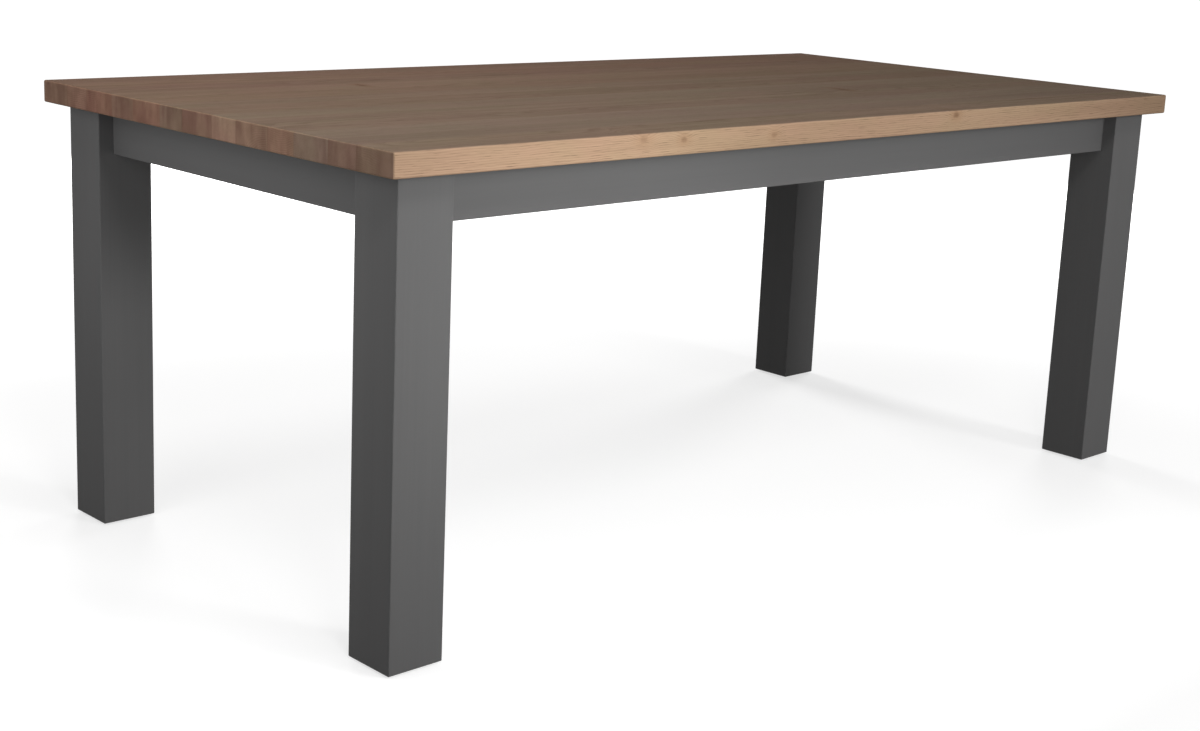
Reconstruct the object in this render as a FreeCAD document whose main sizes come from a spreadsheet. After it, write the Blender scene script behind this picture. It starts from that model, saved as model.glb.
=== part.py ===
import FreeCAD, Part
import os
import re

import Sketcher
from FreeCAD import Placement, Rotation, Vector

# Dining table: an edge-glued oak top on a painted stand of four square legs and four set-back aprons.
# The frame has X along the length, Y across the width with the front at -Y, and Z up from the floor.
# All sizes are in millimetres.

# Driving sizes. Every other measure follows from them.
SIZES = {
    # oak top
    "top_length": 2000,
    "top_width": 1000,
    "top_thickness": 38,
    "top_rounding": 3,
    "stave_count": 13,
    "stave_width": 85,  # of the wide staves. Narrow ones lie between them and share the rest
    # stand
    "table_height": 780,
    "top_overhang": 32,  # of the top past the outer faces of the legs
    "leg_side": 100,
    "leg_flat": 20,  # cut off the inner corner behind the aprons, where the hanger bolts go in
    "arris_rounding": 2,  # on legs and aprons
    "apron_height": 79,
    "apron_thickness": 25,
    "apron_setback": 28,  # from the outer faces of the legs
    # groove along the inside of each apron, which the top clips hook into
    "groove_drop": 11,  # below the top edge of the apron
    "groove_height": 3,
    "groove_depth": 10,
    # cross rails, let into the long aprons
    "rail_height": 55,
    "rail_thickness": 30,
    "rail_housing": 8,
    "rail_share": 0.17,  # of the long apron, from its middle to a rail
    # corner blocks
    "block_margin": 9.5,  # of the apron left free above and below the block
    "block_depth": 36,
    "block_gap": 4,  # between block and leg, so that the nuts can pull the joint tight
    # dowels between aprons and legs
    "dowel_diameter": 10,
    "dowel_length": 50,
    "dowel_share": 0.45,  # of the apron height, between the two in a joint
    # hanger bolts through the corner blocks
    "bolt_diameter": 8,
    "bolt_in_leg": 50,
    "bolt_past_nut": 5,
    "bolt_share": 0.38,  # of the apron height, between the two in a leg
    "washer_diameter": 24,
    "washer_thickness": 2,
    "nut_flats": 13,
    "nut_height": 6.5,
    # bent clips that hold the top down
    "clip_width": 20,
    "clip_metal": 1.6,
    "clip_pad": 24,
    "clip_tongue": 8,
    "clip_standoff": 3,
    "long_clip_share": 0.345,  # of the long apron, from its middle to the outer clips
    "short_clip_share": 0.24,  # of the short apron, from its middle to each clip
    # pan-head screws
    "head_ratio": 2,  # head diameter over shank diameter
    "head_rise": 0.6,  # head height over shank diameter
    "top_screw_diameter": 4.5,
    "top_screw_bite": 20,
    "rail_land": 20,  # of rail under the head of a screw into the top
    "rail_screw_share": 0.27,  # of the clear span, from the middle to each screw
    "block_screw_diameter": 5,
    "block_screw_bite": 17,
    "block_land": 15,  # of block under the head of a screw into an apron
    "block_screw_share": 0.45,  # of the apron height, between two screws
    # turned glides under the legs
    "glide_diameter": 44,
    "glide_height": 3,
    "glide_boss": 24,  # diameter of the boss that is let into the leg
    "boss_height": 8,
    "glide_web": 3,  # of boss above the head of the screw
    "glide_screw_diameter": 4,
    "glide_screw_bite": 20,
    # fits
    "snug_fit": 0.1,  # over the diameter of what is pressed, glued or driven in
    "loose_fit": 1,  # over the diameter of what passes freely
    "hole_room": 1,  # past the end of what is in a blind hole
}

# Formulas that several pieces share. Distances u and v run inwards from the outer corner of a leg.
UNDERSIDE = "(table_height - top_thickness)"
APRON_MIDDLE = f"({UNDERSIDE} - apron_height / 2)"
APRON_CENTRE = "(apron_setback + apron_thickness / 2)"
APRON_INSIDE = "(apron_setback + apron_thickness)"
LONG_APRON = "(top_length - 2 * top_overhang - 2 * leg_side)"
SHORT_APRON = "(top_width - 2 * top_overhang - 2 * leg_side)"
CLEAR_SPAN = f"(top_width - 2 * top_overhang - 2 * {APRON_INSIDE})"
NARROW_STAVE = "((top_width - ceil(stave_count / 2) * stave_width) / floor(stave_count / 2))"
LEG_LENGTH = f"({UNDERSIDE} - glide_height)"
LEG_FLAT_SUM = "(2 * leg_side - leg_flat)"  # u + v on the flat of a leg
BLOCK_NEAR_SUM = f"({LEG_FLAT_SUM} + sqrt(2) * block_gap)"  # u + v on the block face towards the leg
BLOCK_FAR_SUM = f"({BLOCK_NEAR_SUM} + sqrt(2) * block_depth)"  # u + v on its other face
BLOCK_HEIGHT = "(apron_height - 2 * block_margin)"
BLOCK_SCREW = f"(({BLOCK_NEAR_SUM} + {BLOCK_FAR_SUM}) / 2 - {APRON_INSIDE})"  # u of a screw into a long apron
DOWEL_DEPTH = "(dowel_length / 2 + hole_room)"
CLIP_SCREW = "(clip_standoff + clip_pad / 2)"  # from the apron to the screw of a clip

# Each corner has the signs of its X and Y. A leg is a quarter turn on from the one before it.
CORNERS = {
    "front_left": (-1, -1),
    "front_right": (1, -1),
    "back_right": (1, 1),
    "back_left": (-1, 1),
}
# Each side has the direction from its apron to the middle of the table, again in quarter turns.
SIDES = {
    "front": Vector(0, 1, 0),
    "right": Vector(-1, 0, 0),
    "back": Vector(0, -1, 0),
    "left": Vector(1, 0, 0),
}
UP = Vector(0, 0, 1)

doc = FreeCAD.newDocument("DiningTable")
sheet = doc.addObject("Spreadsheet::Sheet", "Sizes")
for row, (name, number) in enumerate(SIZES.items(), 1):
    sheet.set(f"A{row}", name)
    sheet.set(f"B{row}", str(number))
    sheet.setAlias(f"B{row}", name)
doc.recompute()

pieces = []


def cells(formula):
    """The formula with each size name turned into a reference to its cell."""
    return re.sub(r"\b[a-z]+(_[a-z]+)+\b", r"Sizes.\g<0>", formula)


def value(formula):
    """The number that a formula gives with the present sizes."""
    return float(sheet.evalExpression(cells(formula)))


def place(item, x="0", y="0", z="0", rotation=Rotation()):
    item.Placement = Placement(Vector(), rotation)
    for axis, formula in zip("xyz", (x, y, z)):
        item.setExpression(f"Placement.Base.{axis}", cells(formula))


def quarter_turn(names, name):
    """The turn about Z of one of four corners or sides."""
    return Rotation(UP, 90 * list(names).index(name))


def from_corner(corner, u, v):
    """X and Y of the point at u, v from the outer corner of a leg."""
    sign_x, sign_y = CORNERS[corner]
    x = f"{sign_x} * (top_length / 2 - top_overhang - {u})"
    y = f"{sign_y} * (top_width / 2 - top_overhang - {v})"
    return x, y


def from_side(side, along, inwards):
    """X and Y of the point at a distance along an apron from its middle, and inwards from its inner face."""
    inward = SIDES[side]
    if inward.x:
        return f"{-inward.x} * (top_length / 2 - top_overhang - {APRON_INSIDE} - {inwards})", along
    return along, f"{-inward.y} * (top_width / 2 - top_overhang - {APRON_INSIDE} - {inwards})"


def new_body(label):
    return doc.addObject("PartDesign::Body", label)


def sketch_on(body, plane, lift="0"):
    """An empty sketch on an origin plane of the body, lifted along the plane's normal."""
    sketch = body.newObject("Sketcher::SketchObject", f"{body.Name}_outline")
    support = next(feature for feature in body.Origin.OriginFeatures if feature.Role == plane)
    sketch.AttachmentSupport = [(support, "")]
    sketch.MapMode = "FlatFace"
    sketch.setExpression("AttachmentOffset.Base.z", cells(lift))
    return sketch


def dimension(sketch, formula, kind, *where):
    """A constraint bound to a formula."""
    index = sketch.addConstraint(Sketcher.Constraint(kind, *where, value(formula)))
    name = f"{kind}{index}"
    sketch.renameConstraint(index, name)
    sketch.setExpression(f"Constraints.{name}", cells(formula))


def draw_polygon(sketch, corners):
    """A closed polygon with formulas for corners. Sides that share a formula are held level or upright."""
    count = len(corners)
    spots = [Vector(value(x), value(y), 0) for x, y in corners]
    for i in range(count):
        sketch.addGeometry(Part.LineSegment(spots[i], spots[(i + 1) % count]))
    upright = [corners[i][0] == corners[(i + 1) % count][0] for i in range(count)]
    level = [corners[i][1] == corners[(i + 1) % count][1] for i in range(count)]
    for i in range(count):
        sketch.addConstraint(Sketcher.Constraint("Coincident", i, 2, (i + 1) % count, 1))
        if upright[i]:
            sketch.addConstraint(Sketcher.Constraint("Vertical", i))
        elif level[i]:
            sketch.addConstraint(Sketcher.Constraint("Horizontal", i))
    for i, (x, y) in enumerate(corners):
        last = i == count - 1
        if i == 0 or not (upright[i - 1] or last and upright[i]):
            dimension(sketch, x, "DistanceX", -1, 1, i, 1)
        if i == 0 or not (level[i - 1] or last and level[i]):
            dimension(sketch, y, "DistanceY", -1, 1, i, 1)


def draw_circle(sketch, x, y, diameter):
    centre = Vector(value(x), value(y), 0)
    index = sketch.addGeometry(Part.Circle(centre, UP, value(diameter) / 2))
    dimension(sketch, x, "DistanceX", -1, 1, index, 3)
    dimension(sketch, y, "DistanceY", -1, 1, index, 3)
    dimension(sketch, diameter, "Diameter", index)


def pad(body, sketch, length, both_ways=False):
    feature = body.newObject("PartDesign::Pad", f"{body.Name}_pad")
    feature.Profile = sketch
    feature.Midplane = both_ways
    feature.setExpression("Length", cells(length))


def pocket(body, sketch, depth, along_normal=False):
    """Cut a sketch into the body, against its normal unless along_normal is set."""
    feature = body.newObject("PartDesign::Pocket", f"{body.Name}_pocket")
    feature.Profile = sketch
    feature.Reversed = along_normal
    feature.setExpression("Length", cells(depth))


def drill(body, plane, lift, spots, diameter, depth, along_normal=False):
    """Round holes at spots on a lifted origin plane."""
    sketch = sketch_on(body, plane, lift)
    for x, y in spots:
        draw_circle(sketch, x, y, diameter)
    pocket(body, sketch, depth, along_normal)


def drill_diagonal(body, along, z, diameter, depth, direction):
    """A round hole from the point where u and v both equal along, level and at 45 degrees."""
    hole = body.newObject("PartDesign::SubtractiveCylinder", f"{body.Name}_hole")
    hole.setExpression("Radius", cells(f"({diameter}) / 2"))
    hole.setExpression("Height", cells(depth))
    place(hole, along, along, z, Rotation(UP, direction))


def turn_profile(body, corners):
    """A solid of revolution about Z from a polygon of radius and height."""
    sketch = sketch_on(body, "XZ_Plane")
    draw_polygon(sketch, corners)
    feature = body.newObject("PartDesign::Revolution", f"{body.Name}_turning")
    feature.Profile = sketch
    feature.ReferenceAxis = (sketch, ["V_Axis"])
    feature.Angle = 360


def round_edges(body, radius, chosen):
    doc.recompute()
    base = body.Tip
    names = [f"Edge{i}" for i, edge in enumerate(base.Shape.Edges, 1) if chosen(edge)]
    feature = body.newObject("PartDesign::Fillet", f"{body.Name}_rounding")
    feature.Base = (base, names)
    feature.setExpression("Radius", cells(radius))


def at(edge, axis, level):
    """Whether the whole edge lies at a level of an axis."""
    return all(abs(getattr(vertex.Point, axis) - level) < 1e-4 for vertex in edge.Vertexes)


def group(label, model, places):
    """One node of several like pieces: a copy of the model at each x, y, z and rotation."""
    copies = []
    for number, where in enumerate(places, 1):
        copy = doc.addObject("App::Link", f"{label}_{number}")
        copy.LinkedObject = model
        place(copy, *where)
        copies.append(copy)
    gathered = doc.addObject("Part::Compound", label)
    gathered.Links = copies
    pieces.append(gathered)


def two_heights(middle, share):
    """Heights of a pair that is spread about the middle by a share of the apron height."""
    return [f"{middle} + {sign} * apron_height * {share} / 2" for sign in (-1, 1)]


# Where screws go up into the top, as X and Y.
clip_spots = []
for side in ("front", "back"):
    for step in (-1, 0, 1):
        along = f"{step} * long_clip_share * {LONG_APRON}"
        clip_spots.append((side, along))
for side in ("left", "right"):
    for step in (-1, 1):
        along = f"{step} * short_clip_share * {SHORT_APRON}"
        clip_spots.append((side, along))
clip_screw_spots = [from_side(side, along, CLIP_SCREW) for side, along in clip_spots]
rail_middles = {"left": f"-1 * rail_share * {LONG_APRON}", "right": f"rail_share * {LONG_APRON}"}
rail_screw_lengthways = [f"{sign} * rail_screw_share * {CLEAR_SPAN}" for sign in (-1, 1)]
rail_screw_spots = [(x, y) for x in rail_middles.values() for y in rail_screw_lengthways]


def build_stave(index, count):
    """One oak stave of the top. Only arrises on the outside of the whole top are rounded."""
    body = new_body(f"top_stave_{index + 1:02d}")
    width = NARROW_STAVE if index % 2 else "stave_width"
    wide_before = (index + 1) // 2
    start = f"({wide_before} * stave_width + {index - wide_before} * {NARROW_STAVE})"
    section = sketch_on(body, "YZ_Plane")
    draw_polygon(section, [("0", "0"), (width, "0"), (width, "top_thickness"), ("0", "top_thickness")])
    pad(body, section, "top_length")

    outside = [("x", 0), ("x", value("top_length")), ("z", 0), ("z", value("top_thickness"))]
    if index == 0:
        outside.append(("y", 0))
    if index == count - 1:
        outside.append(("y", value(width)))
    round_edges(body, "top_rounding", lambda edge: sum(at(edge, *face) for face in outside) > 1)

    low = value(f"{start} - top_width / 2")
    reach = value("top_screw_diameter + snug_fit") / 2
    spots = []
    for x, y in clip_screw_spots + rail_screw_spots:
        if low - reach < value(y) < low + value(width) + reach:
            spots.append((f"{x} + top_length / 2", f"{y} + top_width / 2 - {start}"))
    if spots:
        drill(body, "XY_Plane", "0", spots, "top_screw_diameter + snug_fit",
              "top_screw_bite + hole_room", along_normal=True)
    place(body, "-top_length / 2", f"{start} - top_width / 2", UNDERSIDE)
    pieces.append(body)


def build_leg(corner):
    """A square leg in its own corner frame. A flat behind the aprons takes the hanger bolts."""
    body = new_body(f"leg_{corner}")
    section = sketch_on(body, "XY_Plane")
    draw_polygon(section, [("0", "0"), ("leg_side", "0"), ("leg_side", "leg_side"), ("0", "leg_side")])
    pad(body, section, LEG_LENGTH)
    head = value(LEG_LENGTH)
    round_edges(body, "arris_rounding", lambda edge: not at(edge, "z", head))
    flat = sketch_on(body, "XY_Plane", LEG_LENGTH)
    short = "leg_side - leg_flat"
    draw_polygon(flat, [("leg_side", short), ("leg_side", "leg_side"), (short, "leg_side")])
    pocket(body, flat, "apron_height")

    middle = f"({APRON_MIDDLE} - glide_height)"
    dowels = [(APRON_CENTRE, z) for z in two_heights(middle, "dowel_share")]
    drill(body, "YZ_Plane", "leg_side", dowels, "dowel_diameter + snug_fit", DOWEL_DEPTH)
    drill(body, "XZ_Plane", "-leg_side", dowels, "dowel_diameter + snug_fit", DOWEL_DEPTH, along_normal=True)
    for z in two_heights(middle, "bolt_share"):
        drill_diagonal(body, f"{LEG_FLAT_SUM} / 2", z, "bolt_diameter + snug_fit",
                       "bolt_in_leg + hole_room", Vector(-1, -1, 0))
    foot = [("leg_side / 2", "leg_side / 2")]
    drill(body, "XY_Plane", "0", foot, "glide_boss + snug_fit", "boss_height", along_normal=True)
    drill(body, "XY_Plane", "0", foot, "glide_screw_diameter + snug_fit",
          "boss_height + glide_screw_bite + hole_room", along_normal=True)
    x, y = from_corner(corner, "0", "0")
    place(body, x, y, "glide_height", quarter_turn(CORNERS, corner))
    pieces.append(body)


def build_apron(side):
    """An apron with the clip groove in its section, its outer face on Y 0 and its left end on X 0."""
    inward = SIDES[side]
    long = not inward.x
    length = LONG_APRON if long else SHORT_APRON
    body = new_body(f"apron_{side}")
    groove_top = "apron_height - groove_drop"
    groove_foot = f"{groove_top} - groove_height"
    groove_back = "apron_thickness - groove_depth"
    section = sketch_on(body, "YZ_Plane")
    draw_polygon(section, [
        ("0", "0"), ("apron_thickness", "0"),
        ("apron_thickness", groove_foot), (groove_back, groove_foot),
        (groove_back, groove_top), ("apron_thickness", groove_top),
        ("apron_thickness", "apron_height"), ("0", "apron_height"),
    ])
    pad(body, section, length)
    end = value(length)
    round_edges(body, "arris_rounding", lambda edge: at(edge, "z", 0) and not (
        at(edge, "x", 0) or at(edge, "x", end)))

    dowels = [("apron_thickness / 2", z) for z in two_heights("apron_height / 2", "dowel_share")]
    drill(body, "YZ_Plane", "0", dowels, "dowel_diameter + snug_fit", DOWEL_DEPTH, along_normal=True)
    drill(body, "YZ_Plane", length, dowels, "dowel_diameter + snug_fit", DOWEL_DEPTH)
    from_end = f"({BLOCK_SCREW} - leg_side)"
    screws = [
        (x, z)
        for x in (from_end, f"{length} - {from_end}")
        for z in two_heights("apron_height / 2", "block_screw_share")
    ]
    drill(body, "XZ_Plane", "-apron_thickness", screws, "block_screw_diameter + snug_fit",
          "block_screw_bite + hole_room", along_normal=True)
    if long:
        for middle in rail_middles.values():
            near = f"{length} / 2 + {middle} - rail_thickness / 2"
            far = f"{length} / 2 + {middle} + rail_thickness / 2"
            low = "apron_height - rail_height"
            housing = sketch_on(body, "XZ_Plane", "-apron_thickness")
            draw_polygon(housing, [(near, low), (far, low), (far, "apron_height"), (near, "apron_height")])
            pocket(body, housing, "rail_housing", along_normal=True)

    x, y = from_side(side, "0", "-apron_thickness")
    half = f"{length} / 2"
    if long:
        x = f"{-inward.y} * {half}"
    else:
        y = f"{inward.x} * {half}"
    place(body, x, y, f"{UNDERSIDE} - apron_height", quarter_turn(SIDES, side))
    pieces.append(body)


def build_rail(name):
    """A cross rail with rounded lower arrises, screwed up into the top through two counterbores."""
    body = new_body(f"cross_rail_{name}")
    section = sketch_on(body, "XZ_Plane")
    draw_polygon(section, [
        ("0", "0"), ("rail_thickness", "0"), ("rail_thickness", "rail_height"), ("0", "rail_height"),
    ])
    pad(body, section, f"{CLEAR_SPAN} + 2 * rail_housing", both_ways=True)
    side = value("rail_thickness")
    round_edges(body, "arris_rounding", lambda edge: at(edge, "z", 0) and (
        at(edge, "x", 0) or at(edge, "x", side)))
    spots = [("rail_thickness / 2", y) for y in rail_screw_lengthways]
    drill(body, "XY_Plane", "0", spots, "head_ratio * top_screw_diameter + loose_fit",
          "rail_height - rail_land", along_normal=True)
    drill(body, "XY_Plane", "0", spots, "top_screw_diameter + loose_fit", "rail_height", along_normal=True)
    place(body, f"{rail_middles[name]} - rail_thickness / 2", "0", f"{UNDERSIDE} - rail_height")
    pieces.append(body)


def build_corner_block(corner):
    """A block across the inside of a corner, in the frame of the leg, bearing on both aprons."""
    body = new_body(f"corner_block_{corner}")
    section = sketch_on(body, "XY_Plane")
    near = f"{BLOCK_NEAR_SUM} - {APRON_INSIDE}"
    far = f"{BLOCK_FAR_SUM} - {APRON_INSIDE}"
    draw_polygon(section, [
        (near, APRON_INSIDE), (far, APRON_INSIDE), (APRON_INSIDE, far), (APRON_INSIDE, near),
    ])
    pad(body, section, BLOCK_HEIGHT)

    middle = f"{BLOCK_HEIGHT} / 2"
    for z in two_heights(middle, "bolt_share"):
        drill_diagonal(body, f"{BLOCK_NEAR_SUM} / 2", z, "bolt_diameter + loose_fit",
                       "block_depth", Vector(1, 1, 0))
    screws = [(BLOCK_SCREW, z) for z in two_heights(middle, "block_screw_share")]
    seat = f"{APRON_INSIDE} + block_land"
    shank = "block_screw_diameter + loose_fit"
    head = "head_ratio * block_screw_diameter + loose_fit"
    drill(body, "XZ_Plane", f"-{APRON_INSIDE}", screws, shank, "block_depth")
    drill(body, "XZ_Plane", f"-({seat})", screws, head, "block_depth")
    drill(body, "YZ_Plane", APRON_INSIDE, screws, shank, "block_depth", along_normal=True)
    drill(body, "YZ_Plane", seat, screws, head, "block_depth", along_normal=True)
    x, y = from_corner(corner, "0", "0")
    place(body, x, y, f"{APRON_MIDDLE} - {BLOCK_HEIGHT} / 2", quarter_turn(CORNERS, corner))
    pieces.append(body)


def build_glide(corner):
    """A turned glide: a flange on the floor, a boss in the leg and a sunk screw hole."""
    body = new_body(f"glide_{corner}")
    bevel = "glide_height / 3"
    rim = "glide_diameter / 2"
    boss = "glide_boss / 2"
    recess = "(head_ratio * glide_screw_diameter + loose_fit) / 2"
    bore = "(glide_screw_diameter + loose_fit) / 2"
    crown = "glide_height + boss_height"
    seat = f"{crown} - glide_web"
    turn_profile(body, [
        (recess, "0"), (f"{rim} - {bevel}", "0"), (rim, bevel), (rim, "glide_height"),
        (boss, "glide_height"), (boss, crown), (bore, crown), (bore, seat), (recess, seat),
    ])
    x, y = from_corner(corner, "leg_side / 2", "leg_side / 2")
    place(body, x, y)
    pieces.append(body)


def screw_model(name, diameter, length):
    """A pan-head screw with its seat at Z 0, its point up and a six-sided recess in its head."""
    body = new_body(name)
    shank = f"{diameter} / 2"
    head = f"head_ratio * {diameter} / 2"
    rise = f"-head_rise * {diameter}"
    bevel = f"{diameter} / 6"
    turn_profile(body, [
        ("0", rise), (f"{head} - {bevel}", rise), (head, f"{rise} + {bevel}"), (head, "0"),
        (shank, "0"), (shank, f"{length} - {diameter}"), ("0", length),
    ])
    recess = sketch_on(body, "XY_Plane", rise)
    draw_polygon(recess, hexagon(f"{diameter} * 0.7"))
    pocket(body, recess, f"head_rise * {diameter} * 0.7", along_normal=True)
    return body


def hexagon(flats):
    """Corners of a regular hexagon about the origin, from its width across flats."""
    point = f"{flats} / sqrt(3)"
    half = f"{flats} / sqrt(12)"
    side = f"{flats} / 2"
    return [
        (point, "0"), (half, side), (f"-{half}", side),
        (f"-{point}", "0"), (f"-{half}", f"-{side}"), (half, f"-{side}"),
    ]


def build_dowels():
    model = new_body("dowel_model")
    bevel = "dowel_diameter / 10"
    radius = "dowel_diameter / 2"
    end = "dowel_length / 2"
    turn_profile(model, [
        ("0", f"-{end}"), (f"{radius} - {bevel}", f"-{end}"), (radius, f"-{end} + {bevel}"),
        (radius, f"{end} - {bevel}"), (f"{radius} - {bevel}", end), ("0", end),
    ])
    places = []
    for corner in CORNERS:
        for z in two_heights(APRON_MIDDLE, "dowel_share"):
            x, y = from_corner(corner, "leg_side", APRON_CENTRE)
            places.append((x, y, z, Rotation(UP, Vector(1, 0, 0))))
            x, y = from_corner(corner, APRON_CENTRE, "leg_side")
            places.append((x, y, z, Rotation(UP, Vector(0, 1, 0))))
    group("apron_dowels", model, places)


def build_hanger_bolts():
    """Bolts from the legs through the corner blocks, each with a washer and a nut on the inside."""
    radius = "bolt_diameter / 2"
    bevel = "bolt_diameter / 8"
    length = "(bolt_in_leg + block_gap + block_depth + washer_thickness + nut_height + bolt_past_nut)"
    bolt = new_body("bolt_model")
    turn_profile(bolt, [
        ("0", "0"), (radius, "bolt_diameter"), (radius, f"{length} - {bevel}"),
        (f"{radius} - {bevel}", length), ("0", length),
    ])
    washer = new_body("washer_model")
    bore = "(bolt_diameter + loose_fit) / 2"
    rim = "washer_diameter / 2"
    turn_profile(washer, [(bore, "0"), (rim, "0"), (rim, "washer_thickness"), (bore, "washer_thickness")])
    nut = new_body("nut_model")
    plan = sketch_on(nut, "XY_Plane")
    draw_polygon(plan, hexagon("nut_flats"))
    pad(nut, plan, "nut_height")
    drill(nut, "XY_Plane", "nut_height", [("0", "0")], "bolt_diameter + snug_fit", "nut_height")

    starts = {
        "hanger_bolts": (bolt, f"({LEG_FLAT_SUM} / 2 - bolt_in_leg / sqrt(2))"),
        "hanger_washers": (washer, f"({BLOCK_FAR_SUM} / 2)"),
        "hanger_nuts": (nut, f"({BLOCK_FAR_SUM} / 2 + washer_thickness / sqrt(2))"),
    }
    for label, (model, start) in starts.items():
        places = []
        for corner, (sign_x, sign_y) in CORNERS.items():
            x, y = from_corner(corner, start, start)
            inward = Rotation(UP, Vector(-sign_x, -sign_y, 0))
            places += [(x, y, z, inward) for z in two_heights(APRON_MIDDLE, "bolt_share")]
        group(label, model, places)


def build_block_screws():
    model = screw_model("block_screw_model", "block_screw_diameter", "(block_land + block_screw_bite)")
    seat = f"({APRON_INSIDE} + block_land)"
    places = []
    for corner, (sign_x, sign_y) in CORNERS.items():
        for z in two_heights(APRON_MIDDLE, "block_screw_share"):
            x, y = from_corner(corner, BLOCK_SCREW, seat)
            places.append((x, y, z, Rotation(UP, Vector(0, sign_y, 0))))
            x, y = from_corner(corner, seat, BLOCK_SCREW)
            places.append((x, y, z, Rotation(UP, Vector(sign_x, 0, 0))))
    group("block_screws", model, places)


def build_top_clips():
    """Stepped clips: the pad is screwed to the top and the tongue hooks into the groove of an apron."""
    clip = new_body("clip_model")
    inner = "clip_standoff"
    outer = "clip_standoff + clip_metal"
    end = "clip_standoff + clip_pad"
    foot = "-groove_drop - clip_metal"
    profile = sketch_on(clip, "YZ_Plane")
    draw_polygon(profile, [
        ("-clip_tongue", foot), (outer, foot), (outer, "-clip_metal"), (end, "-clip_metal"),
        (end, "0"), (inner, "0"), (inner, "-groove_drop"), ("-clip_tongue", "-groove_drop"),
    ])
    pad(clip, profile, "clip_width", both_ways=True)
    drill(clip, "XY_Plane", "0", [("0", CLIP_SCREW)], "top_screw_diameter + loose_fit", "2 * clip_metal")
    places = []
    for side, along in clip_spots:
        x, y = from_side(side, along, "0")
        places.append((x, y, UNDERSIDE, quarter_turn(SIDES, side)))
    group("top_clips", clip, places)

    screw = screw_model("clip_screw_model", "top_screw_diameter", "(clip_metal + top_screw_bite)")
    group("clip_screws", screw, [(x, y, f"{UNDERSIDE} - clip_metal") for x, y in clip_screw_spots])


def build_rail_screws():
    screw = screw_model("rail_screw_model", "top_screw_diameter", "(rail_land + top_screw_bite)")
    group("rail_screws", screw, [(x, y, f"{UNDERSIDE} - rail_land") for x, y in rail_screw_spots])


def build_glide_screws():
    screw = screw_model("glide_screw_model", "glide_screw_diameter", "(glide_web + glide_screw_bite)")
    places = []
    for corner in CORNERS:
        x, y = from_corner(corner, "leg_side / 2", "leg_side / 2")
        places.append((x, y, "glide_height + boss_height - glide_web"))
    group("glide_screws", screw, places)


stave_count = round(value("stave_count"))
for index in range(stave_count):
    build_stave(index, stave_count)
for corner in CORNERS:
    build_leg(corner)
    build_corner_block(corner)
    build_glide(corner)
for side in SIDES:
    build_apron(side)
for name in rail_middles:
    build_rail(name)
build_dowels()
build_hanger_bolts()
build_block_screws()
build_top_clips()
build_rail_screws()
build_glide_screws()
doc.recompute()

for item in doc.Objects:
    if "Invalid" in item.State or "Error" in item.State:
        raise RuntimeError(f"{item.Label} did not recompute: {item.State}")
for piece in pieces:
    if piece.Shape.isNull() or not piece.Shape.isValid():
        raise RuntimeError(f"{piece.Label} has no valid shape")

os.makedirs("parts", exist_ok=True)
for piece in pieces:
    piece.Shape.exportStep(f"parts/{piece.Label}.step")
    print(piece.Label, len(piece.Shape.Solids), round(piece.Shape.Volume))
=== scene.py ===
import math

import bpy
from mathutils import Matrix, Vector


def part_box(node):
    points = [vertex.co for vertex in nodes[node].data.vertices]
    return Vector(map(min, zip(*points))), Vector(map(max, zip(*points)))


# Dining table: oak top on a dark grey painted stand. Metres, front at -Y, floor at z 0.

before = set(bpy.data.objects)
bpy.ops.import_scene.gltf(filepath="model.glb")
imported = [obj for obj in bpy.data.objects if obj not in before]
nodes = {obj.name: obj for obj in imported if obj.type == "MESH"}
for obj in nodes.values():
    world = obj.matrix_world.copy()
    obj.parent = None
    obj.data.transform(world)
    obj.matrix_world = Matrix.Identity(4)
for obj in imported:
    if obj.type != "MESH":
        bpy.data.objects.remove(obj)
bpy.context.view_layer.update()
scene = bpy.context.scene
print("frame loaded,", len(nodes), "nodes")


# small helpers for node trees

def newMaterial(name):
    material = bpy.data.materials.new(name)
    material.use_nodes = True
    tree = material.node_tree
    tree.nodes.clear()
    output = tree.nodes.new("ShaderNodeOutputMaterial")
    return material, tree, output


def feed(tree, socket, value):
    # a socket links, anything else is a plain value
    if isinstance(value, bpy.types.NodeSocket):
        tree.links.new(value, socket)
    else:
        socket.default_value = value


def addNode(tree, kind, feeds=None, **settings):
    made = tree.nodes.new(kind)
    for name, value in settings.items():
        setattr(made, name, value)
    for key, value in (feeds or {}).items():
        feed(tree, made.inputs[key], value)
    return made


def maths(tree, operation, first, second=0.0, third=0.0):
    feeds = {0: first, 1: second, 2: third}
    return addNode(tree, "ShaderNodeMath", feeds, operation=operation).outputs[0]


def vectorMaths(tree, operation, first, second=(0, 0, 0)):
    made = addNode(tree, "ShaderNodeVectorMath", {0: first, 1: second}, operation=operation)
    return made.outputs["Value" if operation in ("LENGTH", "DOT_PRODUCT") else "Vector"]


def split(tree, vector):
    return addNode(tree, "ShaderNodeSeparateXYZ", {"Vector": vector}).outputs


def combine(tree, x, y, z=0.0):
    return addNode(tree, "ShaderNodeCombineXYZ", {"X": x, "Y": y, "Z": z}).outputs["Vector"]


def turned(tree, vector, rotation, location=(0, 0, 0)):
    feeds = {"Vector": vector, "Location": location, "Rotation": rotation}
    return addNode(tree, "ShaderNodeMapping", feeds, vector_type="POINT").outputs["Vector"]


def noise(tree, vector, scale=1.0, detail=2.0, rough=0.5, channel="Fac"):
    feeds = {"Vector": vector, "Scale": scale, "Detail": detail, "Roughness": rough}
    return addNode(tree, "ShaderNodeTexNoise", feeds).outputs[channel]


def scaledNoise(tree, vector, scales, detail, rough=0.5, channel="Fac"):
    # another scale for each axis
    scaled = vectorMaths(tree, "MULTIPLY", vector, scales)
    return noise(tree, scaled, 1.0, detail, rough, channel)


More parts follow.
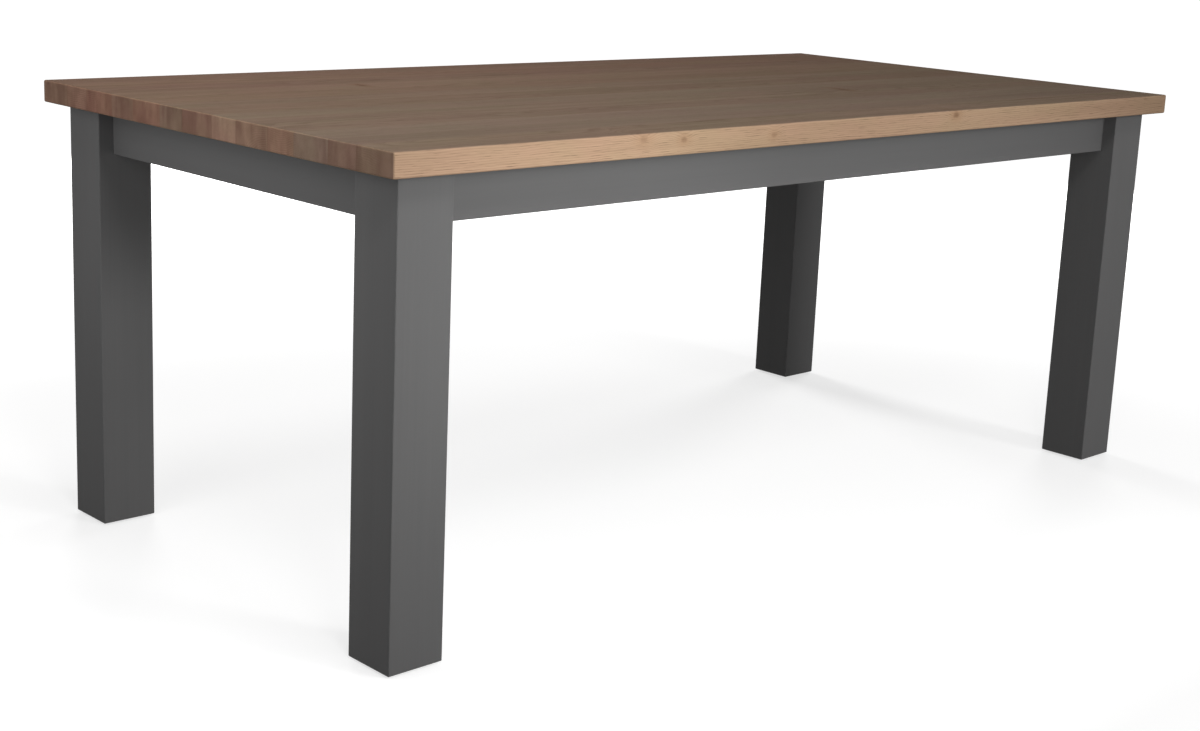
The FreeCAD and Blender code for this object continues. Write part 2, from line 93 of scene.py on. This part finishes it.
def spread(tree, value, low, high, toLow=0.0, toHigh=1.0, soft=True):
    kind = "SMOOTHSTEP" if soft else "LINEAR"
    feeds = {"Value": value, "From Min": low, "From Max": high, "To Min": toLow, "To Max": toHigh}
    return addNode(tree, "ShaderNodeMapRange", feeds, interpolation_type=kind).outputs["Result"]


def colour(rgb):
    return tuple(rgb) + (1.0,)


def mixColour(tree, share, first, second, how="MIX"):
    made = addNode(tree, "ShaderNodeMix", data_type="RGBA", blend_type=how)
    feed(tree, made.inputs[0], share)
    feed(tree, made.inputs[6], first)
    feed(tree, made.inputs[7], second)
    return made.outputs[2]


def tinted(tree, body, rgb):
    return mixColour(tree, 1.0, body, colour(rgb), "MULTIPLY")


def ramp(tree, value, stops):
    made = addNode(tree, "ShaderNodeValToRGB", {"Fac": value})
    while len(made.color_ramp.elements) < len(stops):
        made.color_ramp.elements.new(0.5)
    for element, (spot, grey) in zip(made.color_ramp.elements, stops):
        element.position = spot
        element.color = (grey, grey, grey, 1)
    return made.outputs["Color"]


def bumped(tree, height, strength, depth):
    feeds = {"Height": height, "Strength": strength, "Distance": depth}
    return addNode(tree, "ShaderNodeBump", feeds).outputs["Normal"]


arris = {"samples": 4, "agree": (0.995, 0.92)}   # of true and eased normal: flat, and on the arris


def arrisMask(tree, reach):
    # one where a face turns into the next
    shape = addNode(tree, "ShaderNodeNewGeometry")
    eased = addNode(tree, "ShaderNodeBevel", {"Radius": reach}, samples=arris["samples"])
    agree = vectorMaths(tree, "DOT_PRODUCT", shape.outputs["Normal"], eased.outputs["Normal"])
    return spread(tree, agree, *arris["agree"])


def finishSurface(tree, output, feeds):
    surface = addNode(tree, "ShaderNodeBsdfPrincipled", feeds)
    tree.links.new(surface.outputs["BSDF"], output.inputs["Surface"])


def dress(name, material):
    nodes[name].data.materials.clear()
    nodes[name].data.materials.append(material)


# wood: one solid texture cut by every face, so tops, edges and ends agree

oakLook = {
    "light": (0.341, 0.237, 0.157),
    "dark": (0.233, 0.155, 0.101),
    "pore": (0.086, 0.054, 0.034),
    "ringGap": 0.0031,        # metres between growth rings
    "ringShow": 0.42,
    "poreShow": 0.55,
    "streakShow": 0.34,
    "faceFinishShadeAndSheen": (0.65, 0.69, 0.76),   # broad faces a shade darker and greyer: partly painted shade and painted sheen, partly their finish
    "arrisHighlightTone": 1.28,        # painted highlight on the upper arrises
    "arris": 0.0035,
    "roughness": 0.88,
    "gloss": 0.015,
}

plainLook = {
    "light": (0.560, 0.400, 0.250),
    "dark": (0.400, 0.260, 0.150),
    "pore": (0.220, 0.130, 0.075),
    "ringGap": 0.0042,
    "ringShow": 0.30,
    "poreShow": 0.18,
    "streakShow": 0.30,
    "faceFinishShadeAndSheen": (1.0, 1.0, 1.0),
    # painted highlight on the upper arrises
    "arrisHighlightTone": 1.06,
    "arris": 0.0015,
    "roughness": 0.72,
    "gloss": 0.20,
}

# both woods: noise scales per metre, along the grain and twice across it
# a cut is where a noise or a face begins to count, and where it counts in full
grain = {
    "seedStep": (3.71, 1.37, 2.19),
    "wander": (1.1, 4.5, 4.5),        # slow bends of the rings, and how far they go
    "wanderReach": 0.05,
    "quiver": (9.0, 45.0, 45.0),      # short ones
    "quiverReach": 0.004,
    "drift": (0.6, 30.0, 30.0),
    "driftRings": 2.0,
    "ring": [(0.0, 1.0), (0.16, 0.72), (0.42, 0.2), (0.86, 0.0), (1.0, 1.0)],   # open to dense
    "fibre": (7.0, 620.0, 620.0),
    "fibreShow": 0.5,
    "streak": (1.6, 52.0, 52.0),
    "streakCut": (0.3, 0.72),
    "cloud": (1.3, 6.0, 6.0),
    "cloudShow": 0.6,
    "darkCut": (0.5, 1.5),
    "blush": (4.6, 12.0, 12.0),
    "blushCut": (0.34, 0.66),
    "rosy": (1.03, 0.985, 0.99),
    "sandy": (0.99, 1.005, 0.965),
    "speck": (38.0, 1250.0, 1250.0),
    "speckCut": (0.56, 0.68),
    "poreShares": (0.75, 0.25),       # pores in the open wood alone, and in all of it
    "endCut": (0.75, 0.92),
    "broadCut": (0.6, 0.9),
    "spokes": (150.0, 30.0),          # rays on the ends: round the heart and away from it
    "rayCut": (0.5, 0.72),
    "rayShow": 0.25,
    "rayTone": 0.9,
    "bars": (0.5, 40.0, 8.0),         # broad bands on the ends
    "barCut": (0.36, 0.66),
    "barTone": (0.78, 0.74, 0.76),
    "upperCut": (-0.1, 0.3),
    "edgewayCut": (0.3, 0.05),
    "seam": (0.0001, 0.0006),         # half of a glue line, and where it has faded
    "seamShow": 0.4,
    "fibreRise": 0.35,
    "poreRise": -1.0,
    "openRise": -0.25,
    "bump": 0.22,
    "bumpDepth": 0.0006,
    "fibreDull": 0.16,
    "openDull": 0.08,
}

knot = {
    "rim": (0.231, 0.122, 0.063),
    "core": (0.115, 0.057, 0.032),
    "squash": (0.7, 0.25, 1),         # a knot is drawn out along and into the board
    "ragged": 170.0,
    # the rest in radii
    "waver": 0.9,
    "swellReach": 4.5,
    "swell": 1.3,
    "coreReach": (0.3, 1.2),
    "rimReach": (0.8, 3.2),
    "rimShow": 0.6,
}


def shaken(tree, noiseColour, reach):
    centred = vectorMaths(tree, "SUBTRACT", noiseColour, (0.5, 0.5, 0.5))
    return vectorMaths(tree, "MULTIPLY", centred, (0, reach, reach))


def acrossLog(tree, along, seeded, heart, tilt):
    # place across the log, about a wandering heart line
    lean = (0, math.radians(tilt[0]), math.radians(tilt[1]))
    log = turned(tree, along, lean, (0, -heart[0], -heart[1]))
    wander = scaledNoise(tree, seeded, grain["wander"], 3.0, channel="Color")
    quiver = scaledNoise(tree, seeded, grain["quiver"], 2.0, channel="Color")
    bent = vectorMaths(tree, "ADD", log, shaken(tree, wander, grain["wanderReach"]))
    bent = vectorMaths(tree, "ADD", bent, shaken(tree, quiver, grain["quiverReach"]))
    return vectorMaths(tree, "MULTIPLY", bent, (0, 1, 1))


def growKnots(tree, spot, radius, knots):
    # grain swells round each knot
    core = rim = 0.0
    for knotPlace, size, share in knots:
        aside = vectorMaths(tree, "SUBTRACT", spot, knotPlace)
        away = vectorMaths(tree, "LENGTH", vectorMaths(tree, "MULTIPLY", aside, knot["squash"]))
        waver = size * knot["waver"]
        away = maths(tree, "SUBTRACT", away, waver / 2)
        away = maths(tree, "MULTIPLY_ADD", noise(tree, spot, knot["ragged"], 2.0), waver, away)
        swell = spread(tree, away, 0.0, size * knot["swellReach"], size * knot["swell"], 0.0)
        radius = maths(tree, "ADD", radius, swell)
        coreNear, coreFar = (size * reach for reach in knot["coreReach"])
        core = maths(tree, "MAXIMUM", core, spread(tree, away, coreNear, coreFar, share, 0.0))
        rimNear, rimFar = (size * reach for reach in knot["rimReach"])
        rimShare = share * knot["rimShow"]
        rim = maths(tree, "MAXIMUM", rim, spread(tree, away, rimNear, rimFar, rimShare, 0.0))
    return radius, core, rim


def endGrain(tree, look, body, across, radius, seeded, endTone):
    # ends drink more finish, and show rays from the heart and broad bands
    spokes = split(tree, across)
    angle = maths(tree, "ARCTAN2", spokes["Y"], spokes["Z"])
    around, outward = grain["spokes"]
    spokePlace = combine(tree, maths(tree, "MULTIPLY", angle, around),
                         maths(tree, "MULTIPLY", radius, outward))
    rays = spread(tree, noise(tree, spokePlace, 1.0, 1.0), *grain["rayCut"], 0.0, grain["rayShow"])
    rayColour = [channel * grain["rayTone"] for channel in look["light"]]
    body = mixColour(tree, rays, body, colour(rayColour))
    bars = spread(tree, scaledNoise(tree, seeded, grain["bars"], 2.0, 0.6), *grain["barCut"])
    body = mixColour(tree, bars, body, tinted(tree, body, grain["barTone"]))
    return tinted(tree, body, endTone)


def woodMaterial(name, look, seed, heart, tilt, endTone, turn=0.0, tint=(1, 1, 1), knots=(), joints=()):
    # heart: where the middle of the log lies across and under the piece; tilt: of the log, degrees
    # turn: of the grain about z, degrees; knots: place, radius, share of dark; joints: y of glue lines
    material, tree, output = newMaterial(name)
    place = addNode(tree, "ShaderNodeTexCoord")
    spot = place.outputs["Object"]
    turnBack = (0, 0, -math.radians(turn))
    along = turned(tree, spot, turnBack)
    seeded = vectorMaths(tree, "ADD", along, tuple(seed * step for step in grain["seedStep"]))

    # growth rings
    across = acrossLog(tree, along, seeded, heart, tilt)
    radius = vectorMaths(tree, "LENGTH", across)
    radius, knotCore, knotRim = growKnots(tree, spot, radius, knots)
    drift = maths(tree, "MULTIPLY", scaledNoise(tree, seeded, grain["drift"], 1.0), grain["driftRings"])
    phase = maths(tree, "MULTIPLY_ADD", radius, 1.0 / look["ringGap"], drift)
    early = ramp(tree, maths(tree, "FRACT", phase), grain["ring"])

    # fibres, pores and slow changes of tone
    fibre = scaledNoise(tree, seeded, grain["fibre"], 3.0, 0.6)
    streak = spread(tree, scaledNoise(tree, seeded, grain["streak"], 3.0, 0.55), *grain["streakCut"])
    cloud = scaledNoise(tree, seeded, grain["cloud"], 2.0)
    blush = spread(tree, scaledNoise(tree, seeded, grain["blush"], 2.0, 0.6), *grain["blushCut"])
    specks = spread(tree, scaledNoise(tree, seeded, grain["speck"], 1.0), *grain["speckCut"])
    pore = maths(tree, "MULTIPLY", specks, maths(tree, "MULTIPLY_ADD", early, *grain["poreShares"]))

    depth = maths(tree, "MULTIPLY", streak, look["streakShow"])
    depth = maths(tree, "MULTIPLY_ADD", early, look["ringShow"], depth)
    depth = maths(tree, "MULTIPLY_ADD", fibre, grain["fibreShow"], depth)
    depth = maths(tree, "MULTIPLY_ADD", cloud, grain["cloudShow"], depth)
    depth = spread(tree, depth, *grain["darkCut"], soft=False)
    body = mixColour(tree, depth, colour(look["light"]), colour(look["dark"]))
    blushColour = mixColour(tree, blush, colour(grain["rosy"]), colour(grain["sandy"]))
    body = mixColour(tree, 1.0, body, blushColour, "MULTIPLY")
    poreShare = maths(tree, "MULTIPLY", pore, look["poreShow"])
    body = mixColour(tree, poreShare, body, colour(look["pore"]))
    if knots:
        body = mixColour(tree, knotRim, body, colour(knot["rim"]))
        body = mixColour(tree, knotCore, body, colour(knot["core"]))

    # ends, broad faces and edges differ
    facing = turned(tree, place.outputs["Normal"], turnBack)
    sides = split(tree, vectorMaths(tree, "ABSOLUTE", facing))
    endFace = spread(tree, sides["X"], *grain["endCut"])
    broadFace = spread(tree, sides["Z"], *grain["broadCut"])
    endBody = endGrain(tree, look, body, across, radius, seeded, endTone)
    # painted shade and painted sheen on the broad faces, partly also their finish
    body = mixColour(tree, broadFace, body, tinted(tree, body, look["faceFinishShadeAndSheen"]))
    body = mixColour(tree, endFace, body, endBody)

    # painted highlight along the upper arrises along the grain, where the rounding catches the light
    upper = spread(tree, split(tree, facing)["Z"], *grain["upperCut"])
    highlightEdges = maths(tree, "MULTIPLY", upper, spread(tree, sides["X"], *grain["edgewayCut"]))
    arrisHighlight = maths(tree, "MULTIPLY", arrisMask(tree, look["arris"]), highlightEdges)
    body = mixColour(tree, arrisHighlight, body, tinted(tree, body, (look["arrisHighlightTone"],) * 3))
    body = tinted(tree, body, tint)

    # a hairline where staves meet
    seam = 0.0
    for y in joints:
        off = maths(tree, "ABSOLUTE", maths(tree, "SUBTRACT", split(tree, spot)["Y"], y))
        seam = maths(tree, "MAXIMUM", seam, spread(tree, off, *grain["seam"], grain["seamShow"], 0.0))
    if joints:
        body = mixColour(tree, seam, body, colour(look["pore"]))

    # open pores and raised fibres
    relief = maths(tree, "MULTIPLY", fibre, grain["fibreRise"])
    relief = maths(tree, "MULTIPLY_ADD", pore, grain["poreRise"], relief)
    relief = maths(tree, "MULTIPLY_ADD", early, grain["openRise"], relief)
    dull = maths(tree, "MULTIPLY_ADD", fibre, grain["fibreDull"], look["roughness"] - grain["fibreDull"] / 2)
    dull = maths(tree, "MULTIPLY_ADD", maths(tree, "MAXIMUM", pore, endFace), grain["openDull"], dull)
    finishSurface(tree, output, {
        "Base Color": body, "Roughness": dull, "Specular IOR Level": look["gloss"],
        "Normal": bumped(tree, relief, grain["bump"], grain["bumpDepth"])})
    return material


# oak top: each stave has its own log, tint and place in it

top = {
    "staves": 13,
    # tint of each stave from the front, and of its end
    "tints": [(1.00, 1.00, 1.00), (0.96, 0.97, 1.01), (1.00, 1.02, 1.06), (0.96, 0.95, 0.96),
              (0.99, 0.99, 1.00), (1.02, 1.03, 1.05), (0.95, 0.92, 0.91), (1.00, 0.99, 0.99),
              (1.01, 0.95, 0.93), (1.06, 0.99, 0.99), (1.00, 0.90, 0.92), (1.06, 0.95, 0.95),
              (1.03, 0.92, 0.94)],
    "endTones": [(0.71, 0.69, 0.75), (0.76, 0.71, 0.77), (0.69, 0.69, 0.76), (0.83, 0.77, 0.81),
                 (0.76, 0.73, 0.77), (0.86, 0.81, 0.87), (0.72, 0.67, 0.75), (0.64, 0.63, 0.70),
                 (0.74, 0.67, 0.74), (0.70, 0.69, 0.76), (0.85, 0.77, 0.83), (0.84, 0.81, 0.90),
                 (0.85, 0.87, 0.93)],
    # place, radius and share of dark, by stave
    "knots": {1: [((-0.527, -0.5, 0.771), 0.0068, 0.30), ((-0.439, -0.5, 0.766), 0.0055, 0.38),
                  ((-0.228, -0.5, 0.762), 0.0050, 0.32), ((0.268, -0.5, 0.772), 0.0065, 0.50)],
              5: [((0.36, -0.16, 0.78), 0.0055, 0.55)],
              10: [((-0.52, 0.235, 0.78), 0.0050, 0.50)]},
    # the log's heart, and how quickly its place and lean swing from stave to stave
    "heartLevel": 0.76,
    "heartAside": 0.055,
    "asideSwing": 2.3,
    "heartBelow": (0.06, 0.05),
    "belowSwing": 1.7,
    "tilt": (0.9, 0.7),
    "tiltSwing": (1.1, 1.9),
    "outerEdge": 0.49,        # no glue line beyond it
}


def dressTop():
    for number in range(1, top["staves"] + 1):
        name = f"top_stave_{number:02d}"
        low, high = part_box(name)
        # the heart lies under one stave and over the next, now left and now right
        aside = top["heartAside"] * math.sin(number * top["asideSwing"])
        usual, swing = top["heartBelow"]
        below = (usual + swing * math.sin(number * top["belowSwing"])) * (1 if number % 2 else -1)
        heart = ((low.y + high.y) / 2 + aside, top["heartLevel"] - below)
        tilt = (top["tilt"][0] * math.sin(number * top["tiltSwing"][0]),
                top["tilt"][1] * math.cos(number * top["tiltSwing"][1]))
        dress(name, woodMaterial(
            f"oakStave{number:02d}", oakLook, number, heart, tilt, top["endTones"][number - 1],
            tint=top["tints"][number - 1], knots=top["knots"].get(number, ()),
            joints=[y for y in (low.y, high.y) if abs(y) < top["outerEdge"]]))
    print("oak top dressed,", top["staves"], "staves")


# painted stand

paint = {
    # grain of each piece runs along x, y or z: 0, 1 or 2
    "lengthwise": {"leg_front_left": 2, "leg_front_right": 2, "leg_back_left": 2, "leg_back_right": 2,
                   "apron_front": 0, "apron_back": 0, "apron_left": 1, "apron_right": 1},
    "grey": (0.105, 0.104, 0.104),
    "arrisHighlightGrey": (0.135, 0.134, 0.133),   # painted highlight along the arrises
    "arris": 0.0016,
    "roughness": 0.62,
    "gloss": 0.12,
    "seedStep": (2.7, 1.9, 3.3),
    "brush": (3.5, 260.0),    # noise scales per metre, along and across the piece
    "under": (1.2, 34.0),     # grain that shows through the paint
    "peel": 520.0,
    "cloud": 2.6,
    "cloudShow": 0.16,
    "markShow": 0.10,
    "highlightPatches": 38.0,          # where the painted arris highlight shows, in patches
    "patchCut": (0.35, 0.7),
    "brushRise": 0.55,
    "underRise": 0.9,
    "peelRise": 0.35,
    "bump": 0.18,
    "bumpDepth": 0.0008,
    "brushDull": 0.14,
}


def brushed(tree, seeded, scales, lengthwise, rough):
    along, across = scales
    stretch = [across, across, across]
    stretch[lengthwise] = along
    return scaledNoise(tree, seeded, tuple(stretch), 3.0, rough)


def paintMaterial(name, lengthwise, seed):
    material, tree, output = newMaterial(name)
    place = addNode(tree, "ShaderNodeTexCoord").outputs["Object"]
    seeded = vectorMaths(tree, "ADD", place, tuple(seed * step for step in paint["seedStep"]))
    brush = brushed(tree, seeded, paint["brush"], lengthwise, 0.55)
    under = brushed(tree, seeded, paint["under"], lengthwise, 0.6)
    peel = noise(tree, seeded, paint["peel"], 2.0)
    cloud = noise(tree, seeded, paint["cloud"], 2.0)

    level = maths(tree, "MULTIPLY_ADD", cloud, paint["cloudShow"], 1.0 - paint["cloudShow"] / 2)
    for mark in (brush, under):
        centred = maths(tree, "SUBTRACT", mark, 0.5)
        level = maths(tree, "ADD", level, maths(tree, "MULTIPLY", centred, paint["markShow"]))
    coat = vectorMaths(tree, "MULTIPLY", combine(tree, level, level, level), paint["grey"])
    highlightPatches = spread(tree, noise(tree, seeded, paint["highlightPatches"], 3.0), *paint["patchCut"])
    # painted highlight on the arrises of the stand
    paintArrisHighlight = maths(tree, "MULTIPLY", arrisMask(tree, paint["arris"]), highlightPatches)
    body = mixColour(tree, paintArrisHighlight, coat, colour(paint["arrisHighlightGrey"]))

    relief = maths(tree, "MULTIPLY", peel, paint["peelRise"])
    relief = maths(tree, "MULTIPLY_ADD", brush, paint["brushRise"], relief)
    relief = maths(tree, "MULTIPLY_ADD", under, paint["underRise"], relief)
    dull = maths(tree, "MULTIPLY_ADD", brush, paint["brushDull"], paint["roughness"] - paint["brushDull"] / 2)
    finishSurface(tree, output, {
        "Base Color": body, "Roughness": dull, "Specular IOR Level": paint["gloss"],
        "Normal": bumped(tree, relief, paint["bump"], paint["bumpDepth"])})
    return material


def dressStand():
    for seed, (name, lengthwise) in enumerate(paint["lengthwise"].items(), 1):
        dress(name, paintMaterial("greyPaint" + str(seed), lengthwise, seed))
    print("stand painted,", len(paint["lengthwise"]), "pieces")


# joinery and hardware out of sight

joinery = {
    # turn of the grain from x, degrees
    "turns": {"cross_rail_left": 90, "cross_rail_right": 90,
              "corner_block_front_left": -45, "corner_block_back_right": -45,
              "corner_block_front_right": 45, "corner_block_back_left": 45, "apron_dowels": 0},
    "heart": (0.03, 0.62),
    "tilt": (0.8, 0.6),
    "endTone": (0.74, 0.68, 0.62),
}


def dressJoinery():
    for seed, (name, turn) in enumerate(joinery["turns"].items(), 21):
        dress(name, woodMaterial("plainWood" + str(seed), plainLook, seed, joinery["heart"],
                                 joinery["tilt"], joinery["endTone"], turn))
    print("rails, blocks and dowels dressed")


zinc = {
    "pieces": ("hanger_bolts", "hanger_washers", "hanger_nuts", "block_screws", "top_clips",
               "clip_screws", "rail_screws", "glide_screws"),
    "bright": (0.62, 0.62, 0.61),
    "dull": (0.43, 0.43, 0.42),
    "roughness": 0.34,
    "mottle": 240.0,
    "mottleCut": (0.35, 0.7),
    "mottleDull": 0.14,
    "scratch": (900.0, 900.0, 120.0),
    "scratchDull": 0.22,
    "bump": 0.15,
    "bumpDepth": 0.0002,
}


def zincMaterial():
    material, tree, output = newMaterial("zincSteel")
    place = addNode(tree, "ShaderNodeTexCoord").outputs["Object"]
    mottle = noise(tree, place, zinc["mottle"], 3.0)
    scratch = scaledNoise(tree, place, zinc["scratch"], 2.0)
    clouded = spread(tree, mottle, *zinc["mottleCut"])
    body = mixColour(tree, clouded, colour(zinc["bright"]), colour(zinc["dull"]))
    smooth = zinc["roughness"] - (zinc["mottleDull"] + zinc["scratchDull"]) / 2
    dull = maths(tree, "MULTIPLY_ADD", mottle, zinc["mottleDull"], smooth)
    dull = maths(tree, "MULTIPLY_ADD", scratch, zinc["scratchDull"], dull)
    finishSurface(tree, output, {
        "Base Color": body, "Roughness": dull, "Metallic": 1.0,
        "Normal": bumped(tree, scratch, zinc["bump"], zinc["bumpDepth"])})
    return material


nylon = {
    "pieces": ("glide_front_left", "glide_front_right", "glide_back_left", "glide_back_right"),
    "black": (0.030, 0.030, 0.031),
    "scuffed": (0.085, 0.084, 0.082),
    "roughness": 0.52,
    "scuff": (160.0, 420.0, 160.0),
    "scuffCut": (0.5, 0.75),
    "scuffDull": 0.2,
    "pebble": 1400.0,
    "bump": 0.2,
    "bumpDepth": 0.0002,
}


def nylonMaterial():
    material, tree, output = newMaterial("blackNylon")
    place = addNode(tree, "ShaderNodeTexCoord").outputs["Object"]
    scuff = scaledNoise(tree, place, nylon["scuff"], 4.0)
    pebble = noise(tree, place, nylon["pebble"], 1.0)
    scuffed = spread(tree, scuff, *nylon["scuffCut"])
    body = mixColour(tree, scuffed, colour(nylon["black"]), colour(nylon["scuffed"]))
    dull = maths(tree, "MULTIPLY_ADD", scuff, nylon["scuffDull"], nylon["roughness"] - nylon["scuffDull"] / 2)
    finishSurface(tree, output, {
        "Base Color": body, "Roughness": dull,
        "Normal": bumped(tree, pebble, nylon["bump"], nylon["bumpDepth"])})
    return material


def dressHardware():
    steel, black = zincMaterial(), nylonMaterial()
    for name in zinc["pieces"]:
        dress(name, steel)
    for name in nylon["pieces"]:
        dress(name, black)
    print("hardware dressed")


# studio

studio = {
    "floorWide": 60.0,
    "floorPale": (0.046, 0.423),   # as the table sees it, and as the camera does
    "floorGlow": (0.63, 1.0),      # added for the camera near the table and far off: lit floor is white
    "glowReach": (1.0, 3.4),
    "sky": 0.13,
    "lamps": {
        "over": {"place": (-0.75, 0.1, 2.4), "aim": (-0.75, 0.1, 0.0), "size": 0.8, "watts": 11.6},
        "high": {"place": (-1.7, -2.35, 3.15), "aim": (-0.9, -0.4, 0.6), "size": 0.8, "watts": 31.0},
        "key": {"place": (1.3, -4.8, 1.7), "aim": (0.9, -0.4, 0.6), "size": 1.0, "watts": 93.0},
        "front": {"place": (-0.65, -1.15, 0.7), "aim": (-0.65, -0.4, 0.6), "size": 0.8, "watts": 6.5},
        "low": {"place": (0.35, -1.15, 0.7), "aim": (0.35, -0.4, 0.6), "size": 0.8, "watts": 2.65},
        "end": {"place": (-1.65, -0.05, 0.8), "aim": (-0.9, -0.05, 0.6), "size": 1.0, "watts": 5.1},
        "back": {"place": (1.5, 4.4, 1.0), "aim": (0.2, 0.0, 0.55), "size": 1.6, "watts": 195.0},
        "right": {"place": (4.6, 1.6, 1.0), "aim": (0.0, 0.1, 0.55), "size": 1.6, "watts": 136.0},
    },
}


def seenDirectly(tree):
    # camera, mirror and see-through rays
    path = addNode(tree, "ShaderNodeLightPath")
    seen = maths(tree, "MAXIMUM", path.outputs["Is Camera Ray"], path.outputs["Is Glossy Ray"])
    return maths(tree, "MAXIMUM", seen, path.outputs["Is Transmission Ray"])


def layFloor():
    half = studio["floorWide"] / 2
    corners = [(-half, -half, 0), (half, -half, 0), (half, half, 0), (-half, half, 0)]
    mesh = bpy.data.meshes.new("studioFloor")
    mesh.from_pydata(corners, [], [(0, 1, 2, 3)])
    floor = bpy.data.objects.new("studioFloor", mesh)
    scene.collection.objects.link(floor)
    material, tree, output = newMaterial("paleFloor")
    seen = seenDirectly(tree)
    shade = spread(tree, seen, 0.0, 1.0, *studio["floorPale"], soft=False)
    pale = addNode(tree, "ShaderNodeBsdfDiffuse", {"Color": shade})
    away = vectorMaths(tree, "LENGTH", addNode(tree, "ShaderNodeTexCoord").outputs["Object"])
    level = maths(tree, "MULTIPLY", seen, spread(tree, away, *studio["glowReach"], *studio["floorGlow"]))
    glow = addNode(tree, "ShaderNodeEmission", {"Color": (1, 1, 1, 1), "Strength": level})
    both = addNode(tree, "ShaderNodeAddShader", {0: pale.outputs["BSDF"], 1: glow.outputs["Emission"]})
    tree.links.new(both.outputs["Shader"], output.inputs["Surface"])
    mesh.materials.append(material)


def hangSky():
    world = bpy.data.worlds.new("studioSky")
    scene.world = world
    world.use_nodes = True
    tree = world.node_tree
    tree.nodes.clear()
    level = spread(tree, seenDirectly(tree), 0.0, 1.0, studio["sky"], 1.0, soft=False)
    sky = addNode(tree, "ShaderNodeBackground", {"Color": (1, 1, 1, 1), "Strength": level})
    output = addNode(tree, "ShaderNodeOutputWorld")
    tree.links.new(sky.outputs["Background"], output.inputs["Surface"])


def hangLamps():
    for name, lamp in studio["lamps"].items():
        data = bpy.data.lights.new(name, "AREA")
        data.shape = "DISK"
        data.size = lamp["size"]
        data.energy = lamp["watts"]
        made = bpy.data.objects.new(name, data)
        made.location = lamp["place"]
        towards = Vector(lamp["aim"]) - Vector(lamp["place"])
        made.rotation_euler = towards.to_track_quat("-Z", "Y").to_euler()
        made.visible_camera = False
        made.visible_glossy = False
        scene.collection.objects.link(made)


camera = {
    "place": (-2.490, -2.467, 1.117),
    "heading": 43.79,      # from +y towards +x, degrees
    "pitch": -12.32,
    "roll": 2.5,
    "lens": 55.09,
    "sensor": 36.0,
    "shiftUp": -0.05,
}


def setCamera():
    heading, pitch, roll = (math.radians(camera[key]) for key in ("heading", "pitch", "roll"))
    forward = Vector((math.sin(heading), math.cos(heading), 0))
    ahead = forward * math.cos(pitch) + Vector((0, 0, math.sin(pitch)))
    level = Vector((math.cos(heading), -math.sin(heading), 0))
    upright = level.cross(ahead)
    right = level * math.cos(roll) + upright * math.sin(roll)
    up = upright * math.cos(roll) - level * math.sin(roll)
    data = bpy.data.cameras.new("photoCamera")
    data.sensor_width = camera["sensor"]
    data.lens = camera["lens"]
    data.shift_y = camera["shiftUp"]
    made = bpy.data.objects.new("photoCamera", data)
    scene.collection.objects.link(made)
    facing = Matrix((right, up, -ahead)).transposed().to_4x4()
    made.matrix_world = Matrix.Translation(camera["place"]) @ facing
    scene.camera = made


dressTop()
dressStand()
dressJoinery()
dressHardware()
layFloor()
hangSky()
hangLamps()
setCamera()
scene.view_settings.view_transform = "Standard"
print("studio set")
